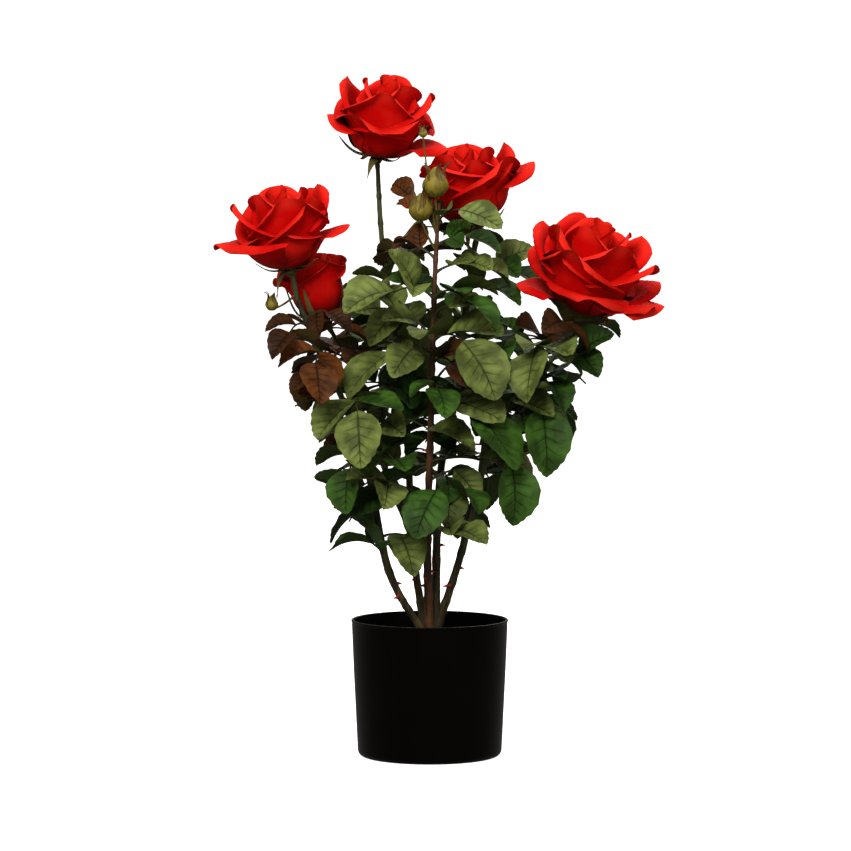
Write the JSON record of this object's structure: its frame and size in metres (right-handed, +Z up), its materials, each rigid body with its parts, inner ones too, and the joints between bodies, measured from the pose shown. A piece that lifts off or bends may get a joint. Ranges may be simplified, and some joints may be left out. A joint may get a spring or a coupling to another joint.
{
  "type": "artificial rose bush",
  "caption": "Artificial potted rose bush: tapering canes rise from a filled black plastic pot, carry masses of serrated compound leaves and end in open red blooms and small buds.",
  "frame": {"origin": "centre of the flat underside of the pot", "axes": "+Z up along the bush, +X to the right seen from the front, +Y to the back"},
  "size_m": [0.3921, 0.2051, 0.615],
  "materials": {
    "pot": "satin black, moulded",
    "potting_fill": "rough dark filling",
    "cane": "ribbed bark relief, olive brown",
    "foliage": "coated printed polyester leaf",
    "bloom": "flocked petal cloth"
  },
  "bodies": {
    "root": {"pot": "pot", "potting_fill": "potting_fill", "crown": "cane", "cane_left": "cane", "cane_back_left": "cane", "branch_left": "cane", "cane_front": "cane", "cane_back_right": "cane", "cane_right": "cane", "foliage_front_high": "foliage", "foliage_right_high": "foliage", "foliage_left_high": "foliage", "foliage_front_top": "foliage", "foliage_right_low": "foliage", "foliage_left_low": "foliage", "foliage_front_low": "foliage", "foliage_branch_left": "foliage", "foliage_back_right_high": "foliage", "foliage_back_left_high": "foliage", "foliage_back_right_low": "foliage", "foliage_back_left_low": "foliage", "bloom_top": "bloom", "bloom_upper_right": "bloom", "bloom_left": "bloom", "bloom_left_low": "bloom", "bloom_right": "bloom"}
  },
  "joints": []
}
